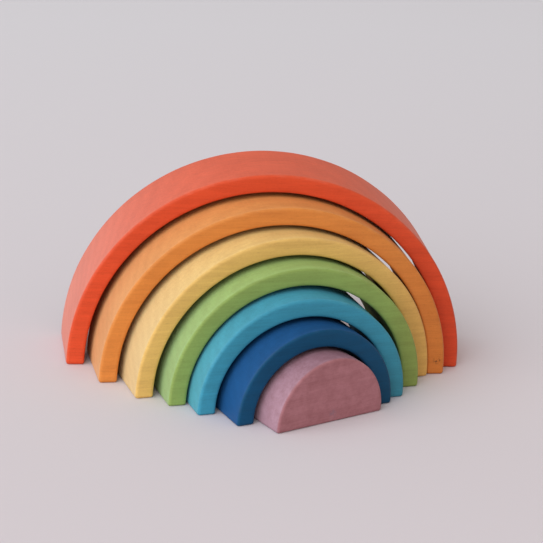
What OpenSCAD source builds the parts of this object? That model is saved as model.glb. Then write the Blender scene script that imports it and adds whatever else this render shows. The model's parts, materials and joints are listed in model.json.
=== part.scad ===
// Rainbow stacker: six nested wooden arches over a half-disc core.
// The pieces are loose. Each stands on its feet, drawn out of the arch around it and turned a little,
// so that the nest opens like a fan. Millimetres, +X right, +Y back, +Z up.

/* [Nest] */
// Radius of the half-disc core
core_r = 27.2; // [15:0.1:45]
// Thickness of every arch, along its radius
wall = 8.05; // [5:0.05:12]
// Gap that runs between each piece and the arch around it
gap = 2; // [1:0.05:5]
// Depth of every piece, from front face to back face
depth = 35; // [28:0.5:60]
// Height of the arches' common centre above the surface that they stand on
centre_h = 1.5; // [0:0.1:12]

/* [Eased edges] */
// Radius of the rounding along the front and back edges
edge_r = 1.2; // [0.5:0.1:2.4]
// Width of the bevel sanded under the feet
foot_bevel = 1; // [0.3:0.1:2]

/* [Fan] */
// Air left where a piece comes closest to the arch around it
air = 0.25; // [0.2:0.05:0.9]

/* [Orange arch in the fan] */
// Distance that the orange arch is drawn out
orange_out = 13.7; // [4:0.1:22]
// Turn of the orange arch, as a share of what the gap allows
orange_turn = 0.49; // [0:0.01:1]
// Sideways place of the orange arch in its play, from left to right
orange_drift = 0.9; // [-1:0.05:1]

/* [Yellow arch in the fan] */
// Distance that the yellow arch is drawn out
yellow_out = 9.8; // [4:0.1:22]
// Turn of the yellow arch, as a share of what the gap allows
yellow_turn = 0.83; // [0:0.01:1]
// Sideways place of the yellow arch in its play, from left to right
yellow_drift = 0.9; // [-1:0.05:1]

/* [Green arch in the fan] */
// Distance that the green arch is drawn out
green_out = 9.9; // [4:0.1:22]
// Turn of the green arch, as a share of what the gap allows
green_turn = 0.04; // [0:0.01:1]
// Sideways place of the green arch in its play, from left to right
green_drift = 0.8; // [-1:0.05:1]

/* [Light blue arch in the fan] */
// Distance that the light blue arch is drawn out
light_blue_out = 10.2; // [4:0.1:22]
// Turn of the light blue arch, as a share of what the gap allows
light_blue_turn = 0.17; // [0:0.01:1]
// Sideways place of the light blue arch in its play, from left to right
light_blue_drift = -0.9; // [-1:0.05:1]

/* [Dark blue arch in the fan] */
// Distance that the dark blue arch is drawn out
dark_blue_out = 9.6; // [4:0.1:22]
// Turn of the dark blue arch, as a share of what the gap allows
dark_blue_turn = 0.86; // [0:0.01:1]
// Sideways place of the dark blue arch in its play, from left to right
dark_blue_drift = -0.5; // [-1:0.05:1]

/* [Pink half disc in the fan] */
// Distance that the pink half disc is drawn out
pink_out = 8.7; // [4:0.1:22]
// Turn of the pink half disc, as a share of what the gap allows
pink_turn = 0.92; // [0:0.01:1]
// Sideways place of the pink half disc in its play, from left to right
pink_drift = -0.9; // [-1:0.05:1]

/* [Hidden] */
NODES = [
    "red_arch", "orange_arch", "yellow_arch", "green_arch",
    "light_blue_arch", "dark_blue_arch", "pink_half_disc"
];
$fn = 144;

// Pieces are counted from the outside: 0 is the red arch and CORE the pink half disc
CORE = len(NODES) - 1;
outs = [0, orange_out, yellow_out, green_out, light_blue_out, dark_blue_out, pink_out];
turns = [0, orange_turn, yellow_turn, green_turn, light_blue_turn, dark_blue_turn, pink_turn];
drifts = [0, orange_drift, yellow_drift, green_drift, light_blue_drift, dark_blue_drift, pink_drift];
play = 2 * (gap - air);

// Outer radius of a piece
function radius(i) = core_r + (CORE - i) * (wall + gap);

// Angle of a piece to the arch around it, which its share of the play allows
function turn_in(i) = turns[i] * atan(play / (depth - outs[i]));

// Sideways shift that leaves a turned piece equal air on both sides of the arch around it
function centred_shift(i, t) =
    (radius(i) * (cos(t) - 1 / cos(t)) + outs[i] * tan(t) + depth * sin(t)) / 2;

// Play that the turn leaves on each side
function play_left(i, t) =
    (play - radius(i) * (cos(t) + 1 / cos(t) - 2) + outs[i] * tan(t) - depth * sin(t)) / 2;

// Place of a piece's front face in the red arch's frame: [x, y, angle from above]
function place(i) = i == 0 ? [0, 0, 0] : let(
    around = place(i - 1),
    t = turn_in(i),
    shift = centred_shift(i, t) + drifts[i] * play_left(i, t)
) [
    around[0] + shift * cos(around[2]) + outs[i] * sin(around[2]),
    around[1] + shift * sin(around[2]) - outs[i] * cos(around[2]),
    around[2] + t
];

// Foremost and hindmost reach of a piece, at its rounded corners
function corner_reach(i, a) = (radius(i) - edge_r) * sin(a) + edge_r * (1 - cos(a));
function front_of(i) = let(p = place(i)) p[1] - corner_reach(i, p[2]);
function back_of(i) = let(p = place(i)) p[1] + depth * cos(p[2]) + corner_reach(i, p[2]);
fan_front = min([for (i = [0:CORE]) front_of(i)]);
fan_back = max([for (i = [0:CORE]) back_of(i)]);
fan_middle = (fan_front + fan_back) / 2;

// Rectangle with its four corners rounded
module eased_rectangle(w, h, r) {
    translate([r, 0]) square([w - 2 * r, h]);
    translate([0, r]) square([w, h - 2 * r]);
    for (x = [r, w - r], y = [r, h - r]) translate([x, y]) circle(r);
}

// Turns the drawn section into a full ring or disc, with its front face on y = 0
module turned() {
    translate([0, depth, centre_h]) rotate([90, 0, 0]) rotate_extrude() children();
}

// Outline of a foot, w wide above its bevels, whose sloping sides go on past that width
module foot_outline(w) {
    rise = 2 * foot_bevel;
    polygon([[foot_bevel, 0], [w - foot_bevel, 0], [w + foot_bevel, rise], [-foot_bevel, rise]]);
}

// Outline of what stands above the bevels, w wide and h high with room to spare
module upper_outline(w, h) {
    translate([-foot_bevel, 1.5 * foot_bevel]) square([w + 2 * foot_bevel, h]);
}

// Cuts a turned piece off at the floor and bevels its feet, each given as [left edge, width]
module standing(r, feet) {
    intersection() {
        children();
        translate([0, depth + foot_bevel, 0]) rotate([90, 0, 0]) linear_extrude(depth + 2 * foot_bevel) {
            translate([-r, 0]) upper_outline(2 * r, r + centre_h);
            for (f = feet) translate([f[0], 0]) foot_outline(f[1]);
        }
        translate([-r - foot_bevel, 0, 0]) rotate([90, 0, 90]) linear_extrude(2 * (r + foot_bevel)) {
            upper_outline(depth, r + centre_h);
            foot_outline(depth);
        }
    }
}

// Arch of the given outer radius
module arch(r) {
    standing(r, [[-r, wall], [r - wall, wall]])
        turned() translate([r - wall, 0]) eased_rectangle(wall, depth, edge_r);
}

// Solid half disc of the given radius
module half_disc(r) {
    standing(r, [[-r, 2 * r]])
        turned() intersection() {
            translate([-r, 0]) eased_rectangle(2 * r, depth, edge_r);
            square([r, depth]);
        }
}

// Sets a piece in its place in the fan, with the whole fan centred on the origin
module fanned(i) {
    p = place(i);
    translate([p[0], p[1] - fan_middle, 0]) rotate([0, 0, p[2]]) children();
}

module red_arch() { color("#d4553a") fanned(0) arch(radius(0)); }
module orange_arch() { color("#d98a45") fanned(1) arch(radius(1)); }
module yellow_arch() { color("#dcb564") fanned(2) arch(radius(2)); }
module green_arch() { color("#86a353") fanned(3) arch(radius(3)); }
module light_blue_arch() { color("#4192ab") fanned(4) arch(radius(4)); }
module dark_blue_arch() { color("#1f5483") fanned(5) arch(radius(5)); }
module pink_half_disc() { color("#a07282") fanned(CORE) half_disc(core_r); }

red_arch();
orange_arch();
yellow_arch();
green_arch();
light_blue_arch();
dark_blue_arch();
pink_half_disc();
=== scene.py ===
"""Rainbow stacker: six stained wooden arches and a half-disc core, opened like a fan on a pale floor."""

import json
import math

import bpy
from mathutils import Matrix, Vector


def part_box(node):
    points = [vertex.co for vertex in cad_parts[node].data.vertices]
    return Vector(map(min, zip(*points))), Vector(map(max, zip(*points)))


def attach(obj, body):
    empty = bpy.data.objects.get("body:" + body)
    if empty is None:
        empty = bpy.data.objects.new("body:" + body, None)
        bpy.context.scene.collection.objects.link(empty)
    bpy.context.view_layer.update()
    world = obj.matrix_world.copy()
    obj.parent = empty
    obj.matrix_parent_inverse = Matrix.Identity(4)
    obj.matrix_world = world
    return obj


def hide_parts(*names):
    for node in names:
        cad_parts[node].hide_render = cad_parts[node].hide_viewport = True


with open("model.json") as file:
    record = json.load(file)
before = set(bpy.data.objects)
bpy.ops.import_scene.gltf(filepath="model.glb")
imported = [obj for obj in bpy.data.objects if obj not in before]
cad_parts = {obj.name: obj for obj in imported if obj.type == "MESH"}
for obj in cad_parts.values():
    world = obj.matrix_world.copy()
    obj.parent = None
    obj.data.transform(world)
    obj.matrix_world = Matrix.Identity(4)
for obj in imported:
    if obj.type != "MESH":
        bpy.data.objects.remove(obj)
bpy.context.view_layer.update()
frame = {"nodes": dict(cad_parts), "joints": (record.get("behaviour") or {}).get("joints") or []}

MM = 0.001

# Sizes that the frame gives, in metres
RED_LOW, RED_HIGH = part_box("red_arch")
OUTER_RADIUS = (RED_HIGH.x - RED_LOW.x) / 2
CENTRE_HEIGHT = RED_HIGH.z - OUTER_RADIUS
DEPTH = RED_HIGH.y - RED_LOW.y
FOOT_POINTS = [v.co.x for v in frame["nodes"]["red_arch"].data.vertices if v.co.z < CENTRE_HEIGHT]
WALL = OUTER_RADIUS - min(abs(x) for x in FOOT_POINTS)

# Sizes of the eased edges
EDGE_ROUNDING = 1.2 * MM
FOOT_BEVEL = 1.0 * MM
FOOT_BEVEL_STEPS = 3
FOOT_BEVEL_ANGLE = math.radians(50)

# Fineness of the swept surfaces
RINGS_ALONG_ARCH = 190
SECTION_STEP = 0.6 * MM
ROUNDING_STEPS = 12
WELD = 0.01 * MM

# Hand sanding leaves the faces a little uneven
UNEVENNESS = 0.10 * MM
UNEVEN_SCALE = 55.0
LEVEL_ABOVE_FLOOR = 4.0 * MM

# Reach of the worn band along the eased edges
WORN_REACH = 1.7 * EDGE_ROUNDING

# How far an eased edge faces forwards where the sawn curve's stain ends and where the face's begins
CURVE_ENDS, FACE_BEGINS = 0.20, 0.75

# Each piece: its material slot, its stain on the flat faces, on the sawn curve and on end grain, and a seed
# The paler colours on the sawn curve and on end grain are partly the stain and partly painted sheen
PIECES = {
    "red_arch": (
        "red_stain", (0.66, 0.075, 0.024), (0.70, 0.125, 0.066), (0.74, 0.250, 0.188), 1),
    "orange_arch": (
        "orange_stain", (0.65, 0.222, 0.046), (0.69, 0.282, 0.086), (0.73, 0.372, 0.165), 2),
    "yellow_arch": (
        "yellow_stain", (0.71, 0.445, 0.130), (0.74, 0.505, 0.190), (0.74, 0.545, 0.270), 3),
    "green_arch": (
        "green_stain", (0.246, 0.354, 0.093), (0.318, 0.467, 0.158), (0.330, 0.490, 0.214), 4),
    "light_blue_arch": (
        "light_blue_stain", (0.042, 0.271, 0.396), (0.062, 0.311, 0.442), (0.090, 0.365, 0.465), 5),
    "dark_blue_arch": (
        "dark_blue_stain", (0.0015, 0.064, 0.154), (0.011, 0.076, 0.220), (0.012, 0.086, 0.249), 6),
    "pink_half_disc": (
        "pink_stain", (0.375, 0.153, 0.174), (0.33, 0.180, 0.230), (0.435, 0.258, 0.322), 7),
}
CORE = "pink_half_disc"


def piece_turn(node):
    """Angle of a piece from above: it slides along its own depth, so its joint's axis gives it."""
    for joint in frame["joints"]:
        if joint["child"] == node:
            return math.atan2(joint["axis"][0], -joint["axis"][1])
    return 0.0


def piece_middle(node):
    """Middle of a piece's plan, on the floor."""
    low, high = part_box(node)
    return Vector(((low.x + high.x) / 2, (low.y + high.y) / 2, 0.0))


def piece_radius(node):
    """Outer radius of a piece, from its height."""
    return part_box(node)[1].z - CENTRE_HEIGHT


# Short ways to build node trees

def add(tree, kind, **settings):
    """A new node with its settings."""
    node = tree.nodes.new(kind)
    for name, value in settings.items():
        setattr(node, name, value)
    return node


def feed(tree, node, values):
    """Sets or links a node's inputs, given by name or number."""
    for key, value in values.items():
        if isinstance(value, bpy.types.NodeSocket):
            tree.links.new(value, node.inputs[key])
        else:
            node.inputs[key].default_value = value
    return node


def calc(tree, operation, *values, clamp=False):
    """One step of arithmetic."""
    node = add(tree, "ShaderNodeMath", operation=operation, use_clamp=clamp)
    return feed(tree, node, dict(enumerate(values))).outputs[0]


def fit_range(tree, value, low, high, to_low=0.0, to_high=1.0, smooth=False):
    """Carries a value from one range to another and keeps it inside."""
    node = add(tree, "ShaderNodeMapRange", clamp=True)
    node.interpolation_type = "SMOOTHSTEP" if smooth else "LINEAR"
    places = {"Value": value, "From Min": low, "From Max": high, "To Min": to_low, "To Max": to_high}
    return feed(tree, node, places).outputs["Result"]


def split_vector(tree, vector):
    """The three parts of a vector."""
    return feed(tree, add(tree, "ShaderNodeSeparateXYZ"), {"Vector": vector}).outputs


# Geometry Nodes: the pieces are a rounded section swept along the arch

def new_shape_tree(name):
    """An empty geometry tree with the named sizes of a piece."""
    tree = bpy.data.node_groups.new(name, "GeometryNodeTree")
    tree.is_modifier = True
    sockets = tree.interface
    sockets.new_socket("Geometry", in_out="INPUT", socket_type="NodeSocketGeometry")
    for size in ("Radius", "Wall", "Depth", "Centre Height", "Edge Rounding", "Turn", "Unevenness", "Seed"):
        sockets.new_socket(size, in_out="INPUT", socket_type="NodeSocketFloat")
    sockets.new_socket("Middle", in_out="INPUT", socket_type="NodeSocketVector")
    sockets.new_socket("Material", in_out="INPUT", socket_type="NodeSocketMaterial")
    sockets.new_socket("Geometry", in_out="OUTPUT", socket_type="NodeSocketGeometry")
    return tree, add(tree, "NodeGroupInput").outputs


def half_circle_path(tree, radius, centre_height):
    """Path of the sweep: up from the floor, over the half circle and down to the floor."""
    line = add(tree, "GeometryNodeCurvePrimitiveLine")
    points = add(tree, "GeometryNodeResampleCurve", mode="COUNT")
    feed(tree, points, {"Curve": line.outputs["Curve"], "Count": RINGS_ALONG_ARCH})
    index = add(tree, "GeometryNodeInputIndex").outputs["Index"]
    angle = fit_range(tree, index, 1, RINGS_ALONG_ARCH - 2, -math.pi / 2, math.pi / 2)
    on_floor = add(tree, "GeometryNodeCurveEndpointSelection").outputs["Selection"]
    across = calc(tree, "MULTIPLY", radius, calc(tree, "SINE", angle))
    over = calc(tree, "MULTIPLY", radius, calc(tree, "COSINE", angle))
    lift = calc(tree, "MULTIPLY", centre_height, calc(tree, "SUBTRACT", 1.0, on_floor))
    place = add(tree, "ShaderNodeCombineXYZ")
    feed(tree, place, {"X": across, "Z": calc(tree, "ADD", over, lift)})
    path = add(tree, "GeometryNodeSetPosition")
    feed(tree, path, {"Geometry": points.outputs["Curve"], "Position": place.outputs["Vector"]})
    return path.outputs["Geometry"]


def rounded_section(tree, corners, rounding):
    """Rounds the corners of a section and spaces its points evenly."""
    fillet = add(tree, "GeometryNodeFilletCurve", mode="POLY")
    feed(tree, fillet, {"Curve": corners, "Count": ROUNDING_STEPS, "Radius": rounding})
    even = add(tree, "GeometryNodeResampleCurve", mode="LENGTH")
    feed(tree, even, {"Curve": fillet.outputs["Curve"], "Length": SECTION_STEP})
    return even.outputs["Curve"]


def merged(tree, mesh):
    """A mesh with the points that lie on each other made one."""
    node = add(tree, "GeometryNodeMergeByDistance")
    return feed(tree, node, {"Geometry": mesh, "Distance": WELD}).outputs["Geometry"]


def closeness(tree, distance):
    """1 at the edge, falling to 0 at the reach of the wear."""
    return fit_range(tree, distance, 0.0, WORN_REACH, 1.0, 0.0)


def store(tree, mesh, name, value):
    """Keeps a value at every point of the mesh, for the materials."""
    node = add(tree, "GeometryNodeStoreNamedAttribute", data_type="FLOAT", domain="POINT")
    return feed(tree, node, {"Geometry": mesh, "Name": name, "Value": value}).outputs["Geometry"]


def finish_shape(tree, mesh, sizes, thickness):
    """Keeps what the stain needs, makes the faces uneven, sets the piece in its place and stains it."""
    position = add(tree, "GeometryNodeInputPosition").outputs["Position"]
    across, along, height = split_vector(tree, position)
    above_centre = calc(tree, "SUBTRACT", height, sizes["Centre Height"])
    span = calc(tree, "POWER", across, 2.0)
    rise = calc(tree, "POWER", calc(tree, "MAXIMUM", above_centre, 0.0), 2.0)
    reach = calc(tree, "SQRT", calc(tree, "ADD", span, rise))
    from_outside = calc(tree, "SUBTRACT", sizes["Radius"], reach)
    from_inside = calc(tree, "SUBTRACT", reach, calc(tree, "SUBTRACT", sizes["Radius"], thickness))
    from_side = calc(tree, "MINIMUM", from_outside, from_inside)
    half_depth = calc(tree, "MULTIPLY", sizes["Depth"], 0.5)
    from_face = calc(tree, "SUBTRACT", half_depth, calc(tree, "ABSOLUTE", along))
    worn = calc(tree, "MULTIPLY", closeness(tree, from_side), closeness(tree, from_face))
    mesh = store(tree, mesh, "worn_edge", worn)

    normal = add(tree, "GeometryNodeInputNormal").outputs["Normal"]
    sideways, forwards, _ = split_vector(tree, normal)
    facing = calc(tree, "ABSOLUTE", forwards)
    curved = fit_range(tree, facing, CURVE_ENDS, FACE_BEGINS, 1.0, 0.0, smooth=True)
    outside = calc(tree, "LESS_THAN", from_outside, from_inside)
    inside = calc(tree, "SUBTRACT", 1.0, outside)
    mesh = store(tree, mesh, "sawn_curve", calc(tree, "MULTIPLY", curved, outside))
    mesh = store(tree, mesh, "hollow_side", calc(tree, "MULTIPLY", curved, inside))
    mesh = store(tree, mesh, "end_grain", calc(tree, "ABSOLUTE", sideways))
    angle = calc(tree, "ARCTAN2", across, above_centre)
    mesh = store(tree, mesh, "arc_length", calc(tree, "MULTIPLY", angle, sizes["Radius"]))

    noise = add(tree, "ShaderNodeTexNoise", noise_dimensions="4D")
    feed(tree, noise, {"Vector": position, "W": sizes["Seed"], "Scale": UNEVEN_SCALE, "Detail": 1.0})
    in_or_out = calc(tree, "MULTIPLY_ADD", noise.outputs[0], 2.0, -1.0)
    amount = calc(tree, "MULTIPLY", in_or_out, sizes["Unevenness"])
    level = fit_range(tree, height, 0.0, LEVEL_ABOVE_FLOOR, smooth=True)
    offset = add(tree, "ShaderNodeVectorMath", operation="SCALE")
    feed(tree, offset, {"Vector": normal, "Scale": calc(tree, "MULTIPLY", amount, level)})
    uneven = add(tree, "GeometryNodeSetPosition")
    feed(tree, uneven, {"Geometry": mesh, "Offset": offset.outputs["Vector"]})

    turn = feed(tree, add(tree, "ShaderNodeCombineXYZ"), {"Z": sizes["Turn"]})
    placed = add(tree, "GeometryNodeTransform")
    feed(tree, placed, {
        "Geometry": uneven.outputs["Geometry"],
        "Translation": sizes["Middle"],
        "Rotation": turn.outputs["Vector"],
    })
    smooth = feed(tree, add(tree, "GeometryNodeSetShadeSmooth"), {"Geometry": placed.outputs["Geometry"]})
    whole = feed(tree, add(tree, "GeometryNodeRealizeInstances"), {"Geometry": smooth.outputs["Geometry"]})
    stained = add(tree, "GeometryNodeSetMaterial")
    feed(tree, stained, {"Geometry": whole.outputs["Geometry"], "Material": sizes["Material"]})
    tree.links.new(stained.outputs["Geometry"], add(tree, "NodeGroupOutput").inputs["Geometry"])
    return tree


def arch_tree():
    """An arch: a rounded rectangle, wall by depth, swept along the half circle."""
    tree, sizes = new_shape_tree("eased_arch")
    half_wall = calc(tree, "MULTIPLY", sizes["Wall"], 0.5)
    path = half_circle_path(tree, calc(tree, "SUBTRACT", sizes["Radius"], half_wall), sizes["Centre Height"])
    corners = add(tree, "GeometryNodeCurvePrimitiveQuadrilateral", mode="RECTANGLE")
    feed(tree, corners, {"Width": sizes["Wall"], "Height": sizes["Depth"]})
    section = rounded_section(tree, corners.outputs["Curve"], sizes["Edge Rounding"])
    sweep = add(tree, "GeometryNodeCurveToMesh")
    feed(tree, sweep, {"Curve": path, "Profile Curve": section, "Fill Caps": True})
    return finish_shape(tree, sweep.outputs["Mesh"], sizes, sizes["Wall"])


def half_disc_tree():
    """The core: half a section, from the axis out to the rim and back, swept round and closed below."""
    tree, sizes = new_shape_tree("eased_half_disc")
    path = half_circle_path(tree, sizes["Radius"], sizes["Centre Height"])
    line = add(tree, "GeometryNodeCurvePrimitiveLine")
    corners = add(tree, "GeometryNodeResampleCurve", mode="COUNT")
    feed(tree, corners, {"Curve": line.outputs["Curve"], "Count": 4})
    index = add(tree, "GeometryNodeInputIndex").outputs["Index"]
    on_axis = add(tree, "GeometryNodeCurveEndpointSelection").outputs["Selection"]
    inwards = calc(tree, "MULTIPLY", sizes["Radius"], on_axis)
    side = calc(tree, "SUBTRACT", calc(tree, "LESS_THAN", index, 1.5), 0.5)
    place = add(tree, "ShaderNodeCombineXYZ")
    feed(tree, place, {"X": inwards, "Y": calc(tree, "MULTIPLY", side, sizes["Depth"])})
    outline = add(tree, "GeometryNodeSetPosition")
    feed(tree, outline, {"Geometry": corners.outputs["Curve"], "Position": place.outputs["Vector"]})
    section = rounded_section(tree, outline.outputs["Geometry"], sizes["Edge Rounding"])
    sweep = feed(tree, add(tree, "GeometryNodeCurveToMesh"), {"Curve": path, "Profile Curve": section})
    welded = merged(tree, sweep.outputs["Mesh"])
    face_count = add(tree, "GeometryNodeInputMeshEdgeNeighbors").outputs["Face Count"]
    rim = add(tree, "GeometryNodeMeshToCurve")
    feed(tree, rim, {"Mesh": welded, "Selection": calc(tree, "LESS_THAN", face_count, 1.5)})
    base = feed(tree, add(tree, "GeometryNodeFillCurve", mode="NGONS"), {"Curve": rim.outputs["Curve"]})
    turned = feed(tree, add(tree, "GeometryNodeFlipFaces"), {"Mesh": base.outputs["Mesh"]})
    both = add(tree, "GeometryNodeJoinGeometry")
    tree.links.new(turned.outputs["Mesh"], both.inputs["Geometry"])
    tree.links.new(welded, both.inputs["Geometry"])
    return finish_shape(tree, merged(tree, both.outputs["Geometry"]), sizes, sizes["Radius"])


def make_piece(node, tree, material, seed):
    """Runs a shape tree for one piece and returns the plain mesh object."""
    empty = bpy.data.meshes.new(node + "_start")
    draft = bpy.data.objects.new(node + "_draft", empty)
    bpy.context.scene.collection.objects.link(draft)
    shape = draft.modifiers.new("shape", "NODES")
    shape.node_group = tree
    values = {
        "Radius": piece_radius(node),
        "Wall": WALL,
        "Depth": DEPTH,
        "Centre Height": CENTRE_HEIGHT,
        "Edge Rounding": EDGE_ROUNDING,
        "Turn": piece_turn(node),
        "Unevenness": UNEVENNESS,
        "Seed": float(seed),
        "Middle": piece_middle(node),
        "Material": material,
    }
    for socket in tree.interface.items_tree:
        if socket.in_out == "INPUT" and socket.name in values:
            shape[socket.identifier] = values[socket.name]
    bevel = draft.modifiers.new("feet", "BEVEL")
    bevel.width = FOOT_BEVEL
    bevel.segments = FOOT_BEVEL_STEPS
    bevel.limit_method = "ANGLE"
    bevel.angle_limit = FOOT_BEVEL_ANGLE
    evaluated = draft.evaluated_get(bpy.context.evaluated_depsgraph_get())
    mesh = bpy.data.meshes.new_from_object(evaluated)
    mesh.name = node + "_wood"
    piece = bpy.data.objects.new(node + "_wood", mesh)
    bpy.context.scene.collection.objects.link(piece)
    bpy.data.objects.remove(draft)
    return piece


# Stained wood: fineness of each pattern in the grain, and its share in the tone of the stain
ALONG_GRAIN = (0.05, 1.0, 1.0)
FIBRE_SCALE, FIBRE_TONE = 480.0, 0.8
LINE_SCALE, LINE_TONE = 1500.0, 0.8
SPECKLE_SCALE, SPECKLE_TONE = 1300.0, 0.5
BLOTCH_SCALE, BLOTCH_TONE = 45.0, 0.8
MOTTLE_SCALE, MOTTLE_TONE, CORE_MOTTLE_TONE = 260.0, 0.3, 2.0
END_GRAIN_FALL = 2.6
TONE_ON_END_GRAIN = 0.35

# Growth rings about the pith of the block
PITH = (0.0, 30 * MM, -46 * MM)
RING_SCALE, RING_TONE = 62.0, 0.14
RING_WAVER = {"Distortion": 1.6, "Detail": 2.0, "Detail Scale": 0.6}

# Pores, drawn out along the grain
PORE_STRETCH = (0.25, 1.0, 1.0)
PORE_SCALE = 850.0
PORE_INNER, PORE_OUTER = 0.08, 0.24
PORE_AMOUNT = 0.22

# Strokes that the saw left across the curves
SAW_SCALE, SAW_TONE = 900.0, 0.3
SAW_ACROSS = 0.03

# What the grain and the pores make of a stain, and the painted shade on the hollow sides, which face the gaps
# between pieces
DEEP_GRAIN = (0.86, 0.82, 0.82)
PALE_GRAIN = (1.13, 1.18, 1.20)
DARK_PORE = (0.6, 0.55, 0.55)
HOLLOW_PAINTED_SHADE = (0.45, 0.42, 0.42)

# Wear along the eased edges
BARE_WOOD = (0.72, 0.56, 0.38)
BARE_SHARE = 0.12
RUBBED_SCALE = 190.0
RUBBED_LOW, RUBBED_HIGH = 0.45, 0.7
WORN_LOW, WORN_HIGH = 0.35, 0.8
WEAR_AMOUNT = 0.12

# Off the sawn curve, every arch gets painted light on its left leg and warmer painted shade on its right
LEFT_LEG_PAINTED_LIGHT = (1.1, 1.1, 1.1)
RIGHT_LEG_PAINTED_SHADE = (0.95, 0.85, 0.8)
LEG_START, LEG_END = 0.6, 0.95

# Small marks on the front faces: place in the piece's own block, reach, tint and strength
MARKS = {
    "orange_arch": ((73.9 * MM, -DEPTH / 2, 6.6 * MM), 2.4 * MM, (0.12, 0.04, 0.015), 0.85),
    CORE: ((0.9 * MM, -DEPTH / 2, 3.9 * MM), 2.6 * MM, (0.20, 0.14, 0.19), 0.6),
}
FLECK_SCALE = 1100.0
FLECK_LOW, FLECK_HIGH = 0.42, 0.60
MARK_MIDDLE = 0.2

# Sheen and relief of the matte stain
ROUGHNESS = 0.54
FIBRE_ROUGHNESS, BLOTCH_ROUGHNESS, HOLLOW_ROUGHNESS = 0.16, 0.12, 0.4
SPECULAR = 0.2
LINE_RELIEF, SAW_RELIEF, PORE_RELIEF = 0.6, 0.8, -0.5
RELIEF_STRENGTH = 0.2
RELIEF_DEPTH = 0.15 * MM


def rgba(colour):
    """A colour with full alpha."""
    return (*colour, 1.0)


def noise_value(tree, vector, scale, detail, roughness=0.5):
    """A noise pattern as one value."""
    node = add(tree, "ShaderNodeTexNoise")
    feed(tree, node, {"Vector": vector, "Scale": scale, "Detail": detail, "Roughness": roughness})
    return node.outputs[0]


def vector_calc(tree, operation, first, second):
    """One step of vector arithmetic."""
    node = add(tree, "ShaderNodeVectorMath", operation=operation)
    return feed(tree, node, {0: first, 1: second}).outputs[0]


def mix_colour(tree, factor, first, second):
    """Two colours mixed by a factor."""
    node = add(tree, "ShaderNodeMix", data_type="RGBA")
    return feed(tree, node, {0: factor, 6: first, 7: second}).outputs[2]


def swing(tree, value, amount, total):
    """Adds a pattern's swing about its middle to a total."""
    return calc(tree, "MULTIPLY_ADD", calc(tree, "SUBTRACT", value, 0.5), amount, total)


def attribute(tree, name):
    """A value that the shape tree kept on the mesh."""
    return add(tree, "ShaderNodeAttribute", attribute_name=name).outputs["Fac"]


def marked(tree, local, colour, place, reach, tint, strength):
    """A ragged mark that fades out over its reach."""
    offset = vector_calc(tree, "SUBTRACT", local, place)
    distance = feed(tree, add(tree, "ShaderNodeVectorMath", operation="LENGTH"), {0: offset}).outputs["Value"]
    pattern = noise_value(tree, local, FLECK_SCALE, 2.0)
    flecks = fit_range(tree, pattern, FLECK_LOW, FLECK_HIGH, smooth=True)
    fade = fit_range(tree, distance, MARK_MIDDLE * reach, reach, strength, 0.0, smooth=True)
    return mix_colour(tree, calc(tree, "MULTIPLY", flecks, fade), colour, rgba(tint))


def legs_painted_light_and_shade(tree, across, radius, face):
    """Painted light and shade off the sawn curve: paler towards the arch's left leg, darker and warmer
    towards its right.
    """
    colour = rgba(face)
    for side, shade in ((-1, LEFT_LEG_PAINTED_LIGHT), (1, RIGHT_LEG_PAINTED_SHADE)):
        down = fit_range(tree, calc(tree, "MULTIPLY", across, side / radius), LEG_START, LEG_END, smooth=True)
        leg = [part * amount for part, amount in zip(face, shade)]
        colour = mix_colour(tree, down, colour, rgba(leg))
    return colour


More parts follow.
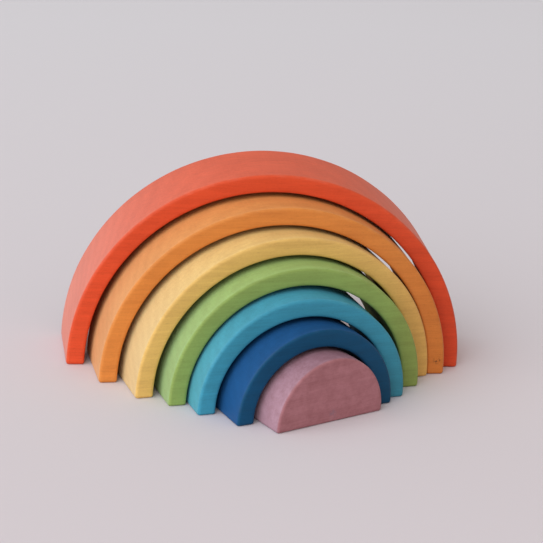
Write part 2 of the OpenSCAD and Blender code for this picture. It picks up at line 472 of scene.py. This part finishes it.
def stained_wood(node, face, sawn, end):
    """Stained wood whose fibres run along the span of the block that the arches were sawn from."""
    material = bpy.data.materials.new(node + "_stained_wood")
    material.use_nodes = True
    tree = material.node_tree
    shader = tree.nodes["Principled BSDF"]

    # The piece's own block, with its span along X
    place = add(tree, "ShaderNodeTexCoord").outputs["Object"]
    block = add(tree, "ShaderNodeMapping", vector_type="TEXTURE")
    feed(tree, block, {"Vector": place, "Location": piece_middle(node), "Rotation": (0, 0, piece_turn(node))})
    local = block.outputs["Vector"]
    along = vector_calc(tree, "MULTIPLY", local, ALONG_GRAIN)
    across, depth, _ = split_vector(tree, local)
    curve = attribute(tree, "sawn_curve")
    hollow = attribute(tree, "hollow_side")
    across_end = calc(tree, "POWER", attribute(tree, "end_grain"), END_GRAIN_FALL)

    # Patterns of the grain
    fibre = noise_value(tree, along, FIBRE_SCALE, 3.0, 0.6)
    lines = noise_value(tree, along, LINE_SCALE, 2.0)
    speckle = noise_value(tree, local, SPECKLE_SCALE, 2.0, 0.6)
    blotch = noise_value(tree, local, BLOTCH_SCALE, 3.0)
    mottle = noise_value(tree, local, MOTTLE_SCALE, 4.0, 0.65)
    rings = add(tree, "ShaderNodeTexWave", wave_type="RINGS", rings_direction="X")
    from_pith = vector_calc(tree, "SUBTRACT", local, PITH)
    feed(tree, rings, {"Vector": from_pith, "Scale": RING_SCALE, **RING_WAVER})
    pores = add(tree, "ShaderNodeTexVoronoi")
    feed(tree, pores, {"Vector": vector_calc(tree, "MULTIPLY", local, PORE_STRETCH), "Scale": PORE_SCALE})
    pore = fit_range(tree, pores.outputs["Distance"], PORE_INNER, PORE_OUTER, 1.0, 0.0)
    stroke = add(tree, "ShaderNodeCombineXYZ")
    feed(tree, stroke, {"X": attribute(tree, "arc_length"), "Y": calc(tree, "MULTIPLY", depth, SAW_ACROSS)})
    strokes = noise_value(tree, stroke.outputs["Vector"], SAW_SCALE, 2.0)
    saw = calc(tree, "MULTIPLY", calc(tree, "SUBTRACT", strokes, 0.5), curve)

    # Tone of the stain, from deep to pale
    long_grain = fit_range(tree, across_end, 0.0, 1.0, 1.0, TONE_ON_END_GRAIN)
    tone = swing(tree, fibre, FIBRE_TONE, 0.0)
    tone = swing(tree, lines, LINE_TONE, tone)
    tone = calc(tree, "MULTIPLY_ADD", tone, long_grain, 0.5)
    tone = swing(tree, speckle, SPECKLE_TONE, tone)
    tone = swing(tree, rings.outputs["Fac"], RING_TONE, tone)
    tone = swing(tree, blotch, BLOTCH_TONE, tone)
    tone = swing(tree, mottle, CORE_MOTTLE_TONE if node == CORE else MOTTLE_TONE, tone)
    tone = calc(tree, "MULTIPLY_ADD", saw, SAW_TONE, tone, clamp=True)

    # Colour of the stain, with painted sheen, painted light and shade on the legs and painted shade on the
    # hollow sides
    # The paler sawn-curve and end-grain colours are partly painted sheen
    curved_stain_and_sheen = mix_colour(tree, across_end, rgba(sawn), rgba(end))
    face_stain_and_leg_light = rgba(face)
    # Painted light on the left legs and painted shade on the right legs of the arches
    if node != CORE:
        face_stain_and_leg_light = legs_painted_light_and_shade(tree, across, piece_radius(node), face)
    stain = mix_colour(tree, curve, face_stain_and_leg_light, curved_stain_and_sheen)
    # Painted shade on the hollow sides, in the gaps between the pieces
    stain = mix_colour(tree, hollow, stain, vector_calc(tree, "MULTIPLY", stain, HOLLOW_PAINTED_SHADE))
    deep = vector_calc(tree, "MULTIPLY", stain, DEEP_GRAIN)
    pale = vector_calc(tree, "MULTIPLY", stain, PALE_GRAIN)
    colour = mix_colour(tree, tone, deep, pale)
    dark = vector_calc(tree, "MULTIPLY", stain, DARK_PORE)
    colour = mix_colour(tree, calc(tree, "MULTIPLY", pore, PORE_AMOUNT), colour, dark)

    # Wear and marks
    rubbed_spots = noise_value(tree, local, RUBBED_SCALE, 3.0)
    rubbed = fit_range(tree, rubbed_spots, RUBBED_LOW, RUBBED_HIGH, smooth=True)
    edge = fit_range(tree, attribute(tree, "worn_edge"), WORN_LOW, WORN_HIGH, smooth=True)
    wear = calc(tree, "MULTIPLY", edge, rubbed)
    worn = mix_colour(tree, BARE_SHARE, rgba(end), rgba(BARE_WOOD))
    colour = mix_colour(tree, calc(tree, "MULTIPLY", wear, WEAR_AMOUNT), colour, worn)
    if node in MARKS:
        colour = marked(tree, local, colour, *MARKS[node])
    feed(tree, shader, {"Base Color": colour})

    # Sheen and relief
    rough = swing(tree, fibre, FIBRE_ROUGHNESS, ROUGHNESS)
    rough = swing(tree, blotch, BLOTCH_ROUGHNESS, rough)
    rough = calc(tree, "MULTIPLY_ADD", hollow, HOLLOW_ROUGHNESS, rough, clamp=True)
    height = calc(tree, "MULTIPLY_ADD", lines, LINE_RELIEF, fibre)
    height = calc(tree, "MULTIPLY_ADD", saw, SAW_RELIEF, height)
    height = calc(tree, "MULTIPLY_ADD", pore, PORE_RELIEF, height)
    relief = add(tree, "ShaderNodeBump")
    feed(tree, relief, {"Strength": RELIEF_STRENGTH, "Distance": RELIEF_DEPTH, "Height": height})
    feed(tree, shader, {
        "Roughness": rough,
        "Normal": relief.outputs["Normal"],
        "Specular IOR Level": SPECULAR,
    })
    return material


# The pieces

ARCH = arch_tree()
HALF_DISC = half_disc_tree()
for node, (slot, face, sawn, end, seed) in PIECES.items():
    tree = HALF_DISC if node == CORE else ARCH
    piece = make_piece(node, tree, stained_wood(node, face, sawn, end), seed)
    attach(piece, node)
    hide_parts(node)


# Floor, which is a little warmer near the camera
FLOOR_SIZE = 12.0
FLOOR_DROP = 0.05 * MM
FLOOR_NEAR, FLOOR_FAR = (0.682, 0.648, 0.705), (0.715, 0.72, 0.785)
FLOOR_NEAR_Y, FLOOR_FAR_Y = -0.10, 0.60
FLOOR_ROUGHNESS, FLOOR_SPECULAR = 0.8, 0.2

# Light
WINDOW_PLACE, WINDOW_TARGET = (-2.88, -2.34, 2.57), (0.0, 0.0, 0.03)
WINDOW_SIZE, WINDOW_POWER = 6.0, 216.0
WINDOW_COLOUR = (1.0, 0.985, 0.97)
ROOM_LEFT = (0.97, 0.99, 1.0)
ROOM_RIGHT = (1.0, 0.86, 0.74)
ROOM_TURN = 0.8
ROOM_STRENGTH = 0.56

# Camera
CAMERA_PLACE = (-160.5 * MM, -899.26 * MM, 396.1 * MM)
CAMERA_YAW = math.radians(9.936)
CAMERA_PITCH = math.radians(20.668)
CAMERA_ROLL = math.radians(4.308)
CAMERA_LENS = 151.5


def pale_floor():
    """A wide plain floor just under the feet."""
    half = FLOOR_SIZE / 2
    mesh = bpy.data.meshes.new("floor")
    corners = [(x, y, -FLOOR_DROP) for x, y in ((-half, -half), (half, -half), (half, half), (-half, half))]
    mesh.from_pydata(corners, [], [(0, 1, 2, 3)])
    floor = bpy.data.objects.new("floor", mesh)
    bpy.context.scene.collection.objects.link(floor)
    material = bpy.data.materials.new("pale_floor")
    material.use_nodes = True
    tree = material.node_tree
    place = add(tree, "ShaderNodeTexCoord").outputs["Object"]
    far = fit_range(tree, split_vector(tree, place)["Y"], FLOOR_NEAR_Y, FLOOR_FAR_Y)
    colour = mix_colour(tree, far, rgba(FLOOR_NEAR), rgba(FLOOR_FAR))
    shader = tree.nodes["Principled BSDF"]
    feed(tree, shader, {
        "Base Color": colour,
        "Roughness": FLOOR_ROUGHNESS,
        "Specular IOR Level": FLOOR_SPECULAR,
    })
    mesh.materials.append(material)


def soft_lamp(name, place, target, size, power, colour):
    """A square soft lamp that points at the target."""
    lamp = bpy.data.lights.new(name, "AREA")
    lamp.size = size
    lamp.energy = power
    lamp.color = colour
    holder = bpy.data.objects.new(name, lamp)
    holder.location = place
    holder.rotation_euler = (Vector(target) - Vector(place)).to_track_quat("-Z", "Y").to_euler()
    bpy.context.scene.collection.objects.link(holder)


def studio_light():
    """A wide window-like lamp from the upper left, and a pale surround that is warmer on the right."""
    soft_lamp("window", WINDOW_PLACE, WINDOW_TARGET, WINDOW_SIZE, WINDOW_POWER, WINDOW_COLOUR)
    world = bpy.data.worlds.new("pale_room")
    world.use_nodes = True
    tree = world.node_tree
    direction = add(tree, "ShaderNodeTexCoord").outputs["Generated"]
    to_right = fit_range(tree, split_vector(tree, direction)["X"], -ROOM_TURN, ROOM_TURN, smooth=True)
    room = mix_colour(tree, to_right, rgba(ROOM_LEFT), rgba(ROOM_RIGHT))
    feed(tree, tree.nodes["Background"], {"Color": room, "Strength": ROOM_STRENGTH})
    bpy.context.scene.world = world


def photo_camera():
    """The camera at the photograph's angle."""
    camera = bpy.data.cameras.new("camera")
    camera.lens = CAMERA_LENS
    holder = bpy.data.objects.new("camera", camera)
    aim = Matrix.Rotation(-CAMERA_YAW, 4, "Z") @ Matrix.Rotation(math.pi / 2 - CAMERA_PITCH, 4, "X")
    holder.matrix_world = Matrix.Translation(CAMERA_PLACE) @ aim @ Matrix.Rotation(CAMERA_ROLL, 4, "Z")
    bpy.context.scene.collection.objects.link(holder)
    bpy.context.scene.camera = holder


pale_floor()
studio_light()
photo_camera()
bpy.context.scene.view_settings.view_transform = "Standard"
